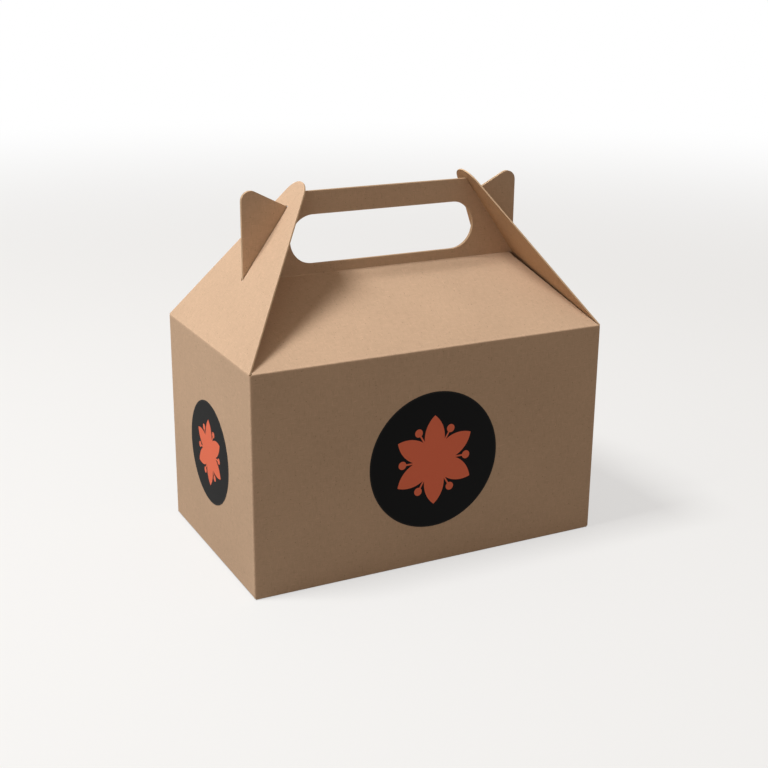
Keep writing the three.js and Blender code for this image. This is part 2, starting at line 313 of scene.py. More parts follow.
def lengths_along(profile):
    """Length along a profile from its first point to each of its points."""
    steps = np.linalg.norm(np.diff(profile, axis=0), axis=1)
    return np.concatenate([[0], np.cumsum(steps)])


def ruled(inner, outer, shares):
    """Grid of straight lines from each inner point (share 0) to its outer one (share 1)."""
    return inner + (outer - inner) * shares[:, None, None]


def ring_shares(reach):
    """Shares across a ruled plate with rows close to both of its cut edges."""
    return graded(0, reach, reach / 9) / reach


def distance_to_loop(points, loop):
    """Distance of each point of a grid from the nearest stretch of a closed outline."""
    along = np.roll(loop, -1, axis=0) - loop
    length = np.maximum((along**2).sum(-1), 1e-16)
    away = points[..., None, :] - loop
    t = np.clip((away * along).sum(-1) / length, 0, 1)
    return np.linalg.norm(away - t[..., None] * along, axis=-1).min(-1)


def pillow(a, b):
    """Bow of a panel: (1 - a squared)(1 - b squared), for a and b from -1 to 1."""
    return np.clip(1 - a**2, 0, 1) * np.clip(1 - b**2, 0, 1)


def wall_bow(p, board, across, z, half):
    """How far a wall stands out at a place across it and up it."""
    return board.wall_bow * pillow(across / half, 2 * z / p.wall_top - 1)


def grid_quads(rows, columns, closed=False):
    """Corner numbers of the quads of a rows by columns grid, round the columns if closed."""
    r, c = np.meshgrid(np.arange(rows - 1), np.arange(columns if closed else columns - 1),
                       indexing="ij")
    following = (c + 1) % columns
    quads = np.stack([r * columns + c, r * columns + following,
                      (r + 1) * columns + following, (r + 1) * columns + c], axis=-1)
    return quads.reshape(-1, 4)


class Sheet:
    """Patches of points with flat coordinates and wear, welded into one mesh."""

    def __init__(self):
        self.points, self.flat, self.worn, self.quads = [], [], [], []
        self.count = 0

    def add(self, points, flat, worn, closed=False, flip=False):
        """Adds a grid of shape (rows, columns, 3), with flat (rows, columns, 2)."""
        rows, columns = points.shape[:2]
        quads = grid_quads(rows, columns, closed) + self.count
        self.points.append(points.reshape(-1, 3))
        self.flat.append(np.broadcast_to(flat, (rows, columns, 2)).reshape(-1, 2))
        self.worn.append(np.broadcast_to(worn, (rows, columns)).reshape(-1))
        self.quads.append(quads[:, ::-1] if flip else quads)
        self.count += rows * columns

    def mesh(self, name):
        """The welded mesh, in which a quad with two corners in one place is a triangle."""
        points = np.concatenate(self.points)
        cells = np.round(points * WELD_GRID).astype(np.int64)
        _, first, back = np.unique(cells, axis=0, return_index=True, return_inverse=True)
        quads = back.reshape(-1)[np.concatenate(self.quads)]
        faces = [list(dict.fromkeys(q)) for q in quads.tolist()]
        mesh = bpy.data.meshes.new(name)
        mesh.from_pydata(points[first].tolist(), [], [f for f in faces if len(f) > 2])
        flat = np.pad(np.concatenate(self.flat)[first], ((0, 0), (0, 1)))
        layer = mesh.attributes.new("flat", "FLOAT_VECTOR", "POINT")
        layer.data.foreach_set("vector", flat.astype(np.float32).ravel())
        worn = mesh.attributes.new("worn", "FLOAT", "POINT")
        worn.data.foreach_set("value", np.concatenate(self.worn)[first].astype(np.float32))
        mesh.validate()
        mesh.update()
        return mesh


# The carton's patches


def front_columns(p, board):
    """x of the columns shared by the front wall, roof and bottom flap, left to right."""
    half_gap = board.seam_gap / 2
    corners = [-board.seam_slant - half_gap, board.seam_slant - half_gap]
    return np.unique(np.concatenate([graded(-p.inner_x, p.inner_x, PANEL_PITCH), corners]))


def seam_line(board, x):
    """y of the bottom seam: past the middle for x under 0, short of it for x over 0, slanted."""
    half_gap = board.seam_gap / 2
    slant = np.clip((x + half_gap) / board.seam_slant, -1, 1)
    return -half_gap - board.seam_step * slant


def front_profile(p, board):
    """YZ profile of the front: base fold, wall, wall fold, straight roof slope, ridge fold.

    Share is how far up the slope each of its points lies, from 0 to 1, and 0 off the slope.
    """
    base_y = -p.half_width + p.outside
    base_fold = arc((base_y, p.outside), p.outside, -math.pi / 2, -math.pi / 2)
    wall_z = graded(p.outside, p.end_top, PANEL_PITCH)
    wall = np.stack([np.full(len(wall_z), -p.half_width), wall_z], -1)[1:-1]
    wall_fold = arc((base_y, p.end_top), p.outside, math.pi, -p.fold_turn)
    ridge_centre = (-p.ply_y - board.fold_inside, p.foot)
    ridge_fold = arc(ridge_centre, board.fold_inside, -p.fold_turn, p.fold_turn)
    slope = ridge_fold[0] - wall_fold[-1]
    length = np.linalg.norm(slope)
    run = graded(0, length, PANEL_PITCH)[1:-1]
    roof = wall_fold[-1] + slope / length * run[:, None]
    points = np.concatenate([base_fold, wall, wall_fold, roof, ridge_fold])
    share = np.zeros(len(points))
    start = len(base_fold) + len(wall) + len(wall_fold)
    share[start:start + len(run)] = run / length
    return SimpleNamespace(
        points=points,
        share=share,
        wall_z=wall_z,
        eaves=wall_fold[-1],
        crest=ridge_fold[0],
        normal=np.array([-slope[1], slope[0]]) / length,
    )


def fold_wear(p, profile):
    """Wear up the profile: full at the base and wall folds, and less at the ridge fold."""
    points = profile.points
    y, z = points.T
    base = worn_by(np.maximum(z - p.outside, 0))
    from_eaves = np.where(y < profile.eaves[0] + NEAR, np.maximum(p.end_top - z, 0),
                          np.linalg.norm(points - profile.eaves, axis=1))
    ridge = worn_by(np.linalg.norm(points - profile.crest, axis=1)) * RIDGE_WEAR
    return np.maximum.reduce([base, worn_by(from_eaves), ridge])


def add_front(sheet, p, board, profile, turned):
    """Bottom flap, wall and roof panel of the front as one grid, or of the back if turned.

    Its rows run from the bottom seam to the base fold and then up the profile, and each one spans
    its own width in X. The wall stands out by its bow. The roof stands out by roof_bow times its
    pillow, less roof_sweep s cubed (1 - s)(1 - a squared), for s up the slope and a across it.
    """
    columns = front_columns(p, board)
    across = columns / p.inner_x
    base_y = -p.half_width + p.outside
    seam_rows = 1 - EDGE_ROWS / p.half_width
    depth = np.unique(np.concatenate([graded(0, 1, 0.1, True, False), seam_rows]))[::-1]
    bottom_y = base_y + (seam_line(board, columns) - base_y) * depth[:, None]
    y = np.concatenate([bottom_y, np.repeat(profile.points[1:, :1], len(columns), 1)])

    def up_the_rows(bottom, above):
        """Values of the bottom's rows and then of the profile's, as a column."""
        return np.concatenate([bottom, above[1:]])[:, None]

    z = up_the_rows(0 * depth, profile.points[:, 1])
    half = np.minimum(p.inner_x, roof_half(p, board, z))
    x = across * half
    on_wall = (z > p.outside * 0.5) & (z < p.end_top + 1 / WELD_GRID)
    if turned:
        cut = p.half_length - board.lap_edge
        x = x * np.where(on_wall & (x < 0), cut / p.inner_x, 1)
    worn = up_the_rows(worn_by(depth * p.half_width), fold_wear(p, profile))
    worn = np.maximum(worn, worn_by(half - np.abs(x)))
    worn[0] = 1
    s = up_the_rows(0 * depth, profile.share)
    lift = (board.roof_bow * pillow(across, 2 * s - 1)
            - board.roof_sweep * s**3 * (1 - s) * (1 - across**2))
    y = y - wall_bow(p, board, x, z, p.inner_x) * on_wall + lift * profile.normal[0]
    z = z + lift * profile.normal[1]
    run = up_the_rows(-depth * p.half_width, lengths_along(profile.points))
    points = np.stack([x, y, z], -1)
    flat = np.stack([x, np.broadcast_to(run, x.shape)], -1)
    if turned:
        points, flat = turned_round(points), flat + BACK_PATTERN
    sheet.add(points, flat, worn)


def end_profile(p, board, side):
    """XY profile of an end wall with its corner folds.

    The right one, of side 1, runs from the front and ends in the glue lap inside the back wall.
    The left one has no lap, and is turned half round, so that it runs from the back.
    """
    across = graded(-p.inner_y, p.inner_y, PANEL_PITCH)[1:-1]
    wall = np.stack([np.full(len(across), p.half_length), across], -1)
    first = arc((p.inner_x, -p.inner_y), p.outside, -math.pi / 2, math.pi / 2)
    if side < 0:
        last = arc((p.inner_x, p.inner_y), p.outside, 0, math.pi / 2)
        return -np.concatenate([first, wall, last])
    lap_y = p.half_width - board.thickness - GLUE_LINE
    lap_fold = arc((p.inner_x, lap_y - p.outside), p.outside, 0, math.pi / 2)
    # the wall's points stop short of the lap's fold, so that the profile never doubles back
    wall = wall[across < lap_y - p.outside - 0.1 * MM]
    lap_x = graded(p.inner_x, p.half_length - board.lap_width, PANEL_PITCH / 2, False, True)[1:]
    lap = np.stack([lap_x, np.full(len(lap_x), lap_y)], -1)
    return np.concatenate([first, wall, lap_fold, lap])


def add_end_walls(sheet, p, board, wall_z):
    """End walls, each one its plan profile carried up the rows of the front wall.

    Between the corners they start higher, on the glued bottom flaps.
    """
    rise = ((wall_z - wall_z[0]) / (wall_z[-1] - wall_z[0]))[:, None]
    half_arc = p.outside * math.pi / 4
    for side in (1, -1):
        profile = end_profile(p, board, side)
        run = lengths_along(profile)
        past_corner = (np.abs(profile[:, 0]) > p.inner_x) * (np.abs(profile[:, 1]) <= p.inner_y)
        low = p.outside + (board.thickness + GLUE_LINE) * past_corner
        z = low + (wall_z[-1] - low) * rise
        bulge = wall_bow(p, board, profile[:, 1], z, p.inner_y)
        on_end = np.abs(np.abs(profile[:, 0]) - p.half_length) < NEAR
        x = profile[:, 0] + np.sign(profile[:, 0]) * bulge * on_end
        y = np.broadcast_to(profile[:, 1], z.shape)
        fold = np.minimum(np.abs(run - half_arc), np.abs(run - 3 * half_arc - 2 * p.inner_y))
        worn = np.maximum(worn_by(np.maximum(fold - p.outside * 0.8, 0)), worn_by(z - low))
        worn = np.maximum(worn, worn_by(wall_z[-1] - z))
        flat = np.stack([np.broadcast_to(run + END_WALL_PATTERN[side], z.shape), z], -1)
        sheet.add(np.stack([x, y, z], -1), flat, worn)


def add_inner_flaps(sheet, p, board):
    """Glued bottom flaps of the end walls: an arc under the wall, then a tapering flat grid."""
    floor = board.thickness + GLUE_LINE
    across = graded(-p.inner_y, p.inner_y, PANEL_PITCH)
    fold = arc((p.inner_x, floor + p.outside), p.outside, 0, -math.pi / 2)
    reach = graded(p.inner_x, p.half_length - board.bottom_reach, PANEL_PITCH)[1:]
    rows = np.concatenate([fold, np.stack([reach, np.full(len(reach), floor)], -1)])
    taper = np.clip((p.inner_x - rows[:, 0]) / (board.bottom_reach - p.outside), 0, 1)
    half = (p.inner_y - board.bottom_taper * taper)[:, None]
    y = across / p.inner_y * half
    x = np.broadcast_to(rows[:, :1], y.shape)
    z = np.broadcast_to(rows[:, 1:], y.shape)
    run = lengths_along(rows)[:, None]
    worn = np.maximum(worn_by(half - np.abs(y)), worn_by(run - run[-1]))
    worn = np.maximum(worn, worn_by(run - p.outside))
    points = np.stack([x, y, z], -1)
    for side in (1, -1):
        flat = np.stack([y + INNER_FLAP_PATTERN * side, np.broadcast_to(-run, y.shape)], -1)
        sheet.add(points if side > 0 else turned_round(points), flat, worn, flip=True)


def handle_loops(p, board):
    """Matching points round the handhold and round the handle's cut outline, in XZ.

    Both loops start at the middle of the bottom and run to the right, and their left halves
    mirror the right ones. Each stretch of the outline has as many points as the stretch of the
    handhold that it is ruled from.
    """
    columns = front_columns(p, board)
    foot_x = roof_half(p, board, p.foot)
    bottom_x = (columns / p.inner_x * foot_x)[columns > -NEAR]
    if abs(bottom_x[0]) > NEAR:
        bottom_x = np.concatenate([[0.0], bottom_x])
    bottom = np.stack([bottom_x, np.full(len(bottom_x), p.foot)], -1)
    notch_out = beside_flap(p, p.notch, board.clearance)
    notch_in = beside_flap(p, p.notch, -board.thickness - board.clearance)
    away = notch_out - p.ear
    touch = math.atan2(away[1], away[0]) - math.acos(board.ear_radius / np.linalg.norm(away))
    touch %= 2 * math.pi
    touching = p.ear + board.ear_radius * np.array([math.cos(touch), math.sin(touch)])
    hook_foot = (p.ridge_end, p.foot)
    corner = (gable_x(p, board, p.top), p.top)
    # the outline past the roof, and the degrees of the handhold's arc that each stretch faces
    stretches = [
        (-45, -42, between(bottom[-1], hook_foot, 2)),
        (-42, 5, between(hook_foot, (p.ridge_end, p.ear[1]), 12)),
        (5, 15, arc(p.ear, board.ear_radius, 0, touch, 10)),
        (15, 30, between(touching, notch_out, 8)),
        (30, 50, between(notch_out, notch_in, 2)),
        (50, 75, between(notch_in, corner, 5)),
    ]
    radius = board.handhold_height / 2
    end_x = board.handhold_length / 2 - radius
    middle = p.top - board.handhold_drop - radius

    def hold_arc(degrees):
        """Points round the handhold's right end."""
        a = np.radians(degrees)
        return np.stack([end_x + radius * np.cos(a), middle + radius * np.sin(a)], -1)

    # the roof's foot: most of it faces the handhold's straight edge, and the rest its arc
    turn_x = 0.7 * foot_x
    straight = bottom_x[bottom_x <= turn_x]
    bent = bottom_x[bottom_x > turn_x]
    hold = [
        np.stack([straight / turn_x * end_x, np.full(len(straight), middle - radius)], -1),
        hold_arc(-90 + 45 * (bent - turn_x) / (foot_x - turn_x)),
    ]
    outline = [bottom]
    for start, stop, stretch in stretches:
        hold.append(hold_arc(np.linspace(start, stop, len(stretch))[1:]))
        outline.append(stretch[1:])
    # the top edge: 3 of its 16 steps face the arc, and the rest the straight edge
    outline.append(between(corner, (0, p.top), 16)[1:])
    hold.append(hold_arc(np.linspace(75, 90, 4)[1:]))
    hold.append(between((end_x, middle + radius), (0, middle + radius), 13)[1:])
    return mirrored(np.concatenate(hold)), mirrored(np.concatenate(outline))


def add_handle_ply(sheet, p, board, turned):
    """Handle ply: straight lines ruled from the handhold's edge to the cut outline."""
    hold, outline = handle_loops(p, board)
    grid = ruled(hold, outline, ring_shares(HANDLE_RIM))
    x, z = grid[..., 0], grid[..., 1]
    share = (z - p.ridge) / (p.top - p.ridge)
    bow = board.ply_bow * np.clip(1 - (x / PLY_BOW_HALF) ** 2, 0, 1) * np.clip(share, 0, 1)
    points = np.stack([x, -p.ply_y - bow, z], -1)
    cut = np.minimum(distance_to_loop(grid, hold), distance_to_loop(grid, outline))
    on_foot = (z < p.foot + WORN_REACH) & (np.abs(x) < roof_half(p, board, p.foot) - WORN_REACH)
    worn = np.where(on_foot, FOOT_WEAR, worn_by(cut))
    slope = math.hypot(board.roof_rise, p.half_width - p.ply_y)
    flat = np.stack([x, z - p.ridge + p.wall_top + slope], -1)
    if turned:
        points, flat = turned_round(points), flat + BACK_PATTERN
    sheet.add(points, flat, worn, closed=True, flip=True)


# The end flaps' outlines


def flap_loops(p, board):
    """Matching points round an end flap's slot and round its cut outline, lying flat.

    The first coordinate runs across the box and the second from the fold to the tip.
    """
    radius = board.flap_tip_radius
    corner = np.array([p.half_width - board.clearance, board.flap_relief])
    centre = np.array([0, board.flap_reach - radius])
    away = corner - centre
    touch = math.atan2(away[1], away[0]) + math.acos(radius / np.linalg.norm(away))
    touching = centre + radius * np.array([math.cos(touch), math.sin(touch)])
    outline = np.concatenate([
        between((0, board.flap_relief), corner, 14, False),
        between(corner, touching, 28, False),
        arc(centre, radius, touch, math.pi / 2 - touch, 12),
    ])
    half = p.slot_half
    round_end = (0, p.slot_start + half)
    slot = np.concatenate([
        arc(round_end, half, -math.pi / 2, math.pi / 2, 14)[:-1],
        between((half, p.slot_start + half), (half, p.slot_end), 28, False),
        between((half, p.slot_end), (0, p.slot_end), 12),
    ])
    return mirrored(slot), mirrored(outline)


def flap_points(p, across, reach, lift, side):
    """Points of the closed flap at side (+1 right, -1 left) from its flat coordinates."""
    x = p.half_length + reach * p.up[0] + lift * p.off[0]
    z = p.wall_top + reach * p.up[1] + lift * p.off[1]
    points = np.stack([x, across, z], -1)
    return points if side > 0 else turned_round(points)


# Materials


class Output:
    """Output of a shader node. Arithmetic on it adds Math nodes to the same tree."""

    def __init__(self, socket):
        self.socket, self.tree = socket, socket.id_data

    def other(self, name):
        """Another output of the same node."""
        return Output(self.socket.node.outputs[name])

    def maths(self, operation, *others, clamp=False):
        """Output of a Math node on this value and the others."""
        values = dict(enumerate((self, *others)))
        return add_node(self.tree, "Math", 0, values, operation=operation, use_clamp=clamp)

    def __add__(self, other):
        return self.maths("ADD", other)

    def __sub__(self, other):
        return self.maths("SUBTRACT", other)

    def __mul__(self, other):
        return self.maths("MULTIPLY", other)


def put(value, socket):
    """Links an output to a socket, or sets a plain value on it."""
    if isinstance(value, Output):
        value.tree.links.new(value.socket, socket)
    else:
        socket.default_value = value


def add_node(tree, kind, out=0, inputs=None, **settings):
    """One output of a new shader node, whose inputs are given by name or number."""
    node = tree.nodes.new(f"ShaderNode{kind}")
    for name, value in settings.items():
        setattr(node, name, value)
    for name, value in (inputs or {}).items():
        put(value, node.inputs[name])
    return Output(node.outputs[out])


def noise(place, scale, detail=2.0, roughness=0.5):
    """Noise of the given scale per millimetre."""
    inputs = {"Vector": place, "Scale": scale, "Detail": detail, "Roughness": roughness}
    return add_node(place.tree, "TexNoise", "Fac", inputs)


def ramp(value, low, high):
    """Smooth step from 0 to 1 of a value between low and high."""
    inputs = {"Value": value, "From Min": low, "From Max": high}
    return add_node(value.tree, "MapRange", "Result", inputs, interpolation_type="SMOOTHSTEP")


def fibres(place, scale, runs, low, high):
    """Fibres: noise drawn out by each run's stretch and turn, kept only past a threshold."""
    kept = []
    for stretch, turn in runs:
        inputs = {"Vector": place, "Scale": (*stretch, 1), "Rotation": (0, 0, math.radians(turn))}
        drawn = add_node(place.tree, "Mapping", 0, inputs)
        kept.append(ramp(noise(drawn, scale, 1), low, high))
    return kept


def blended(share, first, second):
    """Colours mixed by a share."""
    inputs = {"Factor": share, 6: first, 7: second}
    return add_node(share.tree, "Mix", 2, inputs, data_type="RGBA")


def scaled(colour, share):
    """A colour, or a place, times a number."""
    tree = (colour if isinstance(colour, Output) else share).tree
    return add_node(tree, "VectorMath", 0, {0: colour, "Scale": share}, operation="SCALE")


def in_millimetres(place):
    """A place in metres as millimetres."""
    return scaled(place, 1 / MM)


def attribute(tree, name, out):
    """An output of the attribute of the given name."""
    return add_node(tree, "Attribute", out, attribute_name=name)


def background_rays(tree):
    """1 for the rays that show the background: camera, glossy and transmission rays."""
    camera = add_node(tree, "LightPath", "Is Camera Ray")
    sent = camera.other("Is Transmission Ray")
    return camera.maths("MAXIMUM", camera.other("Is Glossy Ray").maths("MAXIMUM", sent))


def new_group(name, inputs, outputs):
    """Empty shader node group with the given (name, kind, default) inputs and (name, kind)s."""
    tree = bpy.data.node_groups.new(name, "ShaderNodeTree")
    for label, kind, default in inputs:
        socket = tree.interface.new_socket(name=label, in_out="INPUT", socket_type=kind)
        if default is not None:
            socket.default_value = default
    for label, kind in outputs:
        tree.interface.new_socket(name=label, in_out="OUTPUT", socket_type=kind)
    given = tree.nodes.new("NodeGroupInput").outputs
    result = tree.nodes.new("NodeGroupOutput").inputs
    return tree, {label: Output(given[label]) for label, _, _ in inputs}, result


def placed_group(tree, group, inputs):
    """First output of a group placed in a material with its own values."""
    node = tree.nodes.new("ShaderNodeGroup")
    node.node_tree = group
    for name, value in inputs.items():
        put(value, node.inputs[name])
    return Output(node.outputs[0])


def kraft_group():
    """Kraft board: clouds, mottle and grain, pale and dark fibres, flecks and worn folds.

    Scales are per millimetre. Each input from Cloud to Scuff is how strongly its effect shows,
    and Contrast is how strongly the first three show together.
    """
    if "Kraft board" in bpy.data.node_groups:
        return bpy.data.node_groups["Kraft board"]
    strengths = (("Contrast", 1.0), ("Cloud", 0.2), ("Mottle", 0.12), ("Grain", 0.3),
                 ("Fibres", 0.34), ("Flecks", 0.5), ("Scuff", 0.5))
    tree, given, result = new_group(
        "Kraft board",
        [("Vector", "NodeSocketVector", None), ("Colour", "NodeSocketColor", (0.5, 0.4, 0.3, 1)),
         ("Worn", "NodeSocketFloat", 0.0)]
        + [(label, "NodeSocketFloat", number) for label, number in strengths],
        [("Colour", "NodeSocketColor"), ("Roughness", "NodeSocketFloat"),
         ("Height", "NodeSocketFloat")],
    )
    place = in_millimetres(given["Vector"])
    cloud = noise(place, 0.018, 3)
    mottle = noise(place, 0.35, 3)
    grain = noise(place, 2.6, 3, 0.65)
    first, second, raised = fibres(
        place, 1.5, (((0.12, 1.4), 12), ((1.5, 0.14), -20), ((0.16, 1.8), -38)), 0.6, 0.74
    )
    pale = first.maths("MAXIMUM", second)
    third, fourth = fibres(place, 1.7, (((0.14, 1.5), 31), ((1.3, 0.12), 8)), 0.38, 0.26)
    dark = third.maths("MAXIMUM", fourth)
    # flecks: small spots at the centres of about a third of the cells
    spots = add_node(tree, "TexVoronoi", "Distance", {"Vector": place, "Scale": 0.42})
    picked = add_node(tree, "SeparateColor", 0, {0: spots.other("Color")})
    fleck = ramp(spots, 0.16, 0.09) * ramp(picked, 0.62, 0.66)
    scuff = given["Worn"] * ramp(mottle + grain, 0.7, 1.3)
    light = ((cloud - 0.5) * given["Cloud"] + (mottle - 0.5) * given["Mottle"]
             + (grain - 0.5) * given["Grain"])
    colour = scaled(given["Colour"], light * given["Contrast"] + 1.0)
    # each layer's mask, its strength, and its tone as a share of the board's colour
    for mask, strength, tone in ((pale, "Fibres", 1.35), (dark, "Fibres", 0.6),
                                 (fleck, "Flecks", 0.42), (scuff, "Scuff", 1.25)):
        colour = blended(mask * given[strength], colour, scaled(given["Colour"], tone))
    rough = (grain * 0.2 + 0.74).maths("ADD", scuff * 0.08, clamp=True)
    put(colour, result["Colour"])
    put(rough, result["Roughness"])
    put(grain * 0.6 + raised * 0.5 + pale * 0.4 + scuff * 0.5, result["Height"])
    return tree


def surface(name, specular):
    """A new material with its Principled shader."""
    material = bpy.data.materials.new(name)
    material.use_nodes = True
    shader = material.node_tree.nodes["Principled BSDF"]
    shader.inputs["Specular IOR Level"].default_value = specular
    return material, material.node_tree, shader


def finished(shader, colour, rough, height, strength, depth):
    """Gives a shader its colour, its roughness and the normals of a height."""
    put(colour, shader.inputs["Base Color"])
    put(rough, shader.inputs["Roughness"])
    bump = {"Height": height, "Strength": strength, "Distance": depth}
    put(add_node(height.tree, "Bump", 0, bump), shader.inputs["Normal"])


def kraft_material(name, colour, contrast, wear):
    """Uncoated kraft board, with wear where the sheet folds or is cut."""
    if name in bpy.data.materials:
        return bpy.data.materials[name]
    material, tree, shader = surface(name, 0.1)
    board = placed_group(tree, kraft_group(), {
        "Vector": attribute(tree, "flat", "Vector"), "Colour": (*colour, 1),
        "Worn": attribute(tree, "worn", "Fac") * wear, "Contrast": contrast,
    })
    finished(shader, board, board.other("Roughness"), board.other("Height"), 0.35, 0.05 * MM)
    return material


def cut_material(name, colour):
    """Cut edge of the board: pale torn fibres in fine streaks."""
    if name in bpy.data.materials:
        return bpy.data.materials[name]
    material, tree, shader = surface(name, 0.15)
    place = in_millimetres(add_node(tree, "TexCoord", "Object"))
    fine = noise(place, 6.0, 2)
    tone = noise(place, 1.2, 3) * 0.22 + 0.84 + fine * 0.1
    finished(shader, scaled(tuple(colour), tone), fine * 0.15 + 0.8, fine, 0.4, 0.05 * MM)
    return material


def rosette_group():
    """Mask of a petal rosette: a petal is where two equal circles overlap.

    The angle is folded into one sector about each petal. Inside a petal, the distance to the
    circle's centre, which lies half a petal out and one rise below it, is under the circle's
    radius. Hub, stalks and dots are added as plain distances, and the mask is where the largest
    of them is above zero.
    """
    if "Rosette" in bpy.data.node_groups:
        return bpy.data.node_groups["Rosette"]
    numbers = ("Sector", "Petal", "Bow", "Rise", "Hub", "Stalk", "Stalk Half", "Dot")
    tree, value, result = new_group(
        "Rosette",
        [("Vector", "NodeSocketVector", None)]
        + [(label, "NodeSocketFloat", 1.0) for label in numbers],
        [("Mask", "NodeSocketFloat")],
    )
    x = add_node(tree, "SeparateXYZ", 0, {0: value["Vector"]})
    y = x.other(1)
    angle = x.maths("ARCTAN2", y)
    away = (x * x + y * y).maths("SQRT")
    half_sector = value["Sector"] * 0.5

    def folded(turned):
        """Coordinates along and beside the nearest spoke, from the angle."""
        inside = turned.maths("FLOORED_MODULO", value["Sector"]) - half_sector
        return away * inside.maths("COSINE"), (away * inside.maths("SINE")).maths("ABSOLUTE")

    def apart(along, beside, at, below):
        """Distance from the point (at, -below)."""
        a, b = along - at, beside + below
        return (a * a + b * b).maths("SQRT")

    along, beside = folded(angle + half_sector)
    petal = value["Bow"] - apart(along, beside, value["Petal"] * 0.5, value["Rise"])
    along, beside = folded(angle)
    stalk = (value["Stalk Half"] - beside).maths("MINIMUM", value["Stalk"] - along)
    dot = value["Dot"] - apart(along, beside, value["Stalk"], 0.0)
    shape = petal.maths("MAXIMUM", value["Hub"] - away)
    shape = shape.maths("MAXIMUM", stalk.maths("MAXIMUM", dot))
    put(ramp(shape, -0.03 * MM, 0.05 * MM), result["Mask"])
    return tree


def label_material(labels, radius):
    """Black paper with its coral print."""
    material, tree, shader = surface(f"Label paper {radius / MM:.0f}", 0.08)
    flat = attribute(tree, "flat", "Vector")
    petal = radius * labels.petal_share
    half = petal * labels.slimness
    bow = (petal**2 / 4 + half**2) / (2 * half)
    mask = placed_group(tree, rosette_group(), {
        "Vector": flat, "Sector": 2 * math.pi / labels.petals, "Petal": petal, "Bow": bow,
        "Rise": bow - half, "Hub": radius * labels.hub_share,
        "Stalk": radius * labels.stalk_share, "Stalk Half": labels.stalk_width / 2,
        "Dot": radius * labels.dot_share,
    })
    place = in_millimetres(flat)
    grain = noise(place, 3.0, 2)
    mottle = noise(place, 0.3, 3)
    paper = scaled(tuple(labels.paper), mottle * 0.5 + 0.75)
    paper = blended(attribute(tree, "worn", "Fac") * (grain * 0.12), paper, (0.5, 0.48, 0.45, 1))
    ink = scaled(tuple(labels.ink), grain * 0.2 + 0.9)
    rough = grain * 0.12 + 0.5 + mask * 0.08
    finished(shader, blended(mask, paper, ink), rough, grain + mask, 0.2, 0.02 * MM)
    return material


# Pieces


def new_piece(name, mesh, *materials):
    """Object of a mesh with its materials, linked to the scene."""
    for material in materials:
        mesh.materials.append(material)
    piece = bpy.data.objects.new(name, mesh)
    bpy.context.scene.collection.objects.link(piece)
    return piece


def board_materials(board):
    """Outer face, inner face and cut edge, in the order of a sheet's slots."""
    return [
        kraft_material("Kraft outside", board.outside, 1.0, 1.0),
        kraft_material("Kraft inside", board.inside, 1.15, 0.25),
        cut_material("Kraft cut edge", board.cut),
    ]


def board_piece(name, sheet, board):
    """Object of a sheet, given its thickness inwards from the modelled outer face."""
    piece = new_piece(name, sheet.mesh(name), *board_materials(board))
    wall = piece.modifiers.new("Board", "SOLIDIFY")
    wall.thickness = board.thickness
    wall.offset = -1
    wall.use_even_offset = True
    wall.use_quality_normals = True
    wall.material_offset = 1
    wall.material_offset_rim = 2
    return piece


class GABLEBOX_OT_carton(Operator):
    """Fold the carton: walls, glue lap, bottom, roof and handle"""

    bl_idname = "gablebox.carton"
    bl_label = "Carton"

    def execute(self, context):
        board = context.scene.gablebox_board
        p = plan(board)
        profile = front_profile(p, board)
        sheet = Sheet()
        for turned in (False, True):
            add_front(sheet, p, board, profile, turned)
            add_handle_ply(sheet, p, board, turned)
        add_end_walls(sheet, p, board, profile.wall_z)
        add_inner_flaps(sheet, p, board)
        piece = board_piece("carton_sheet", sheet, board)
        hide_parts("carton")
        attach(piece, "carton")
        return {"FINISHED"}


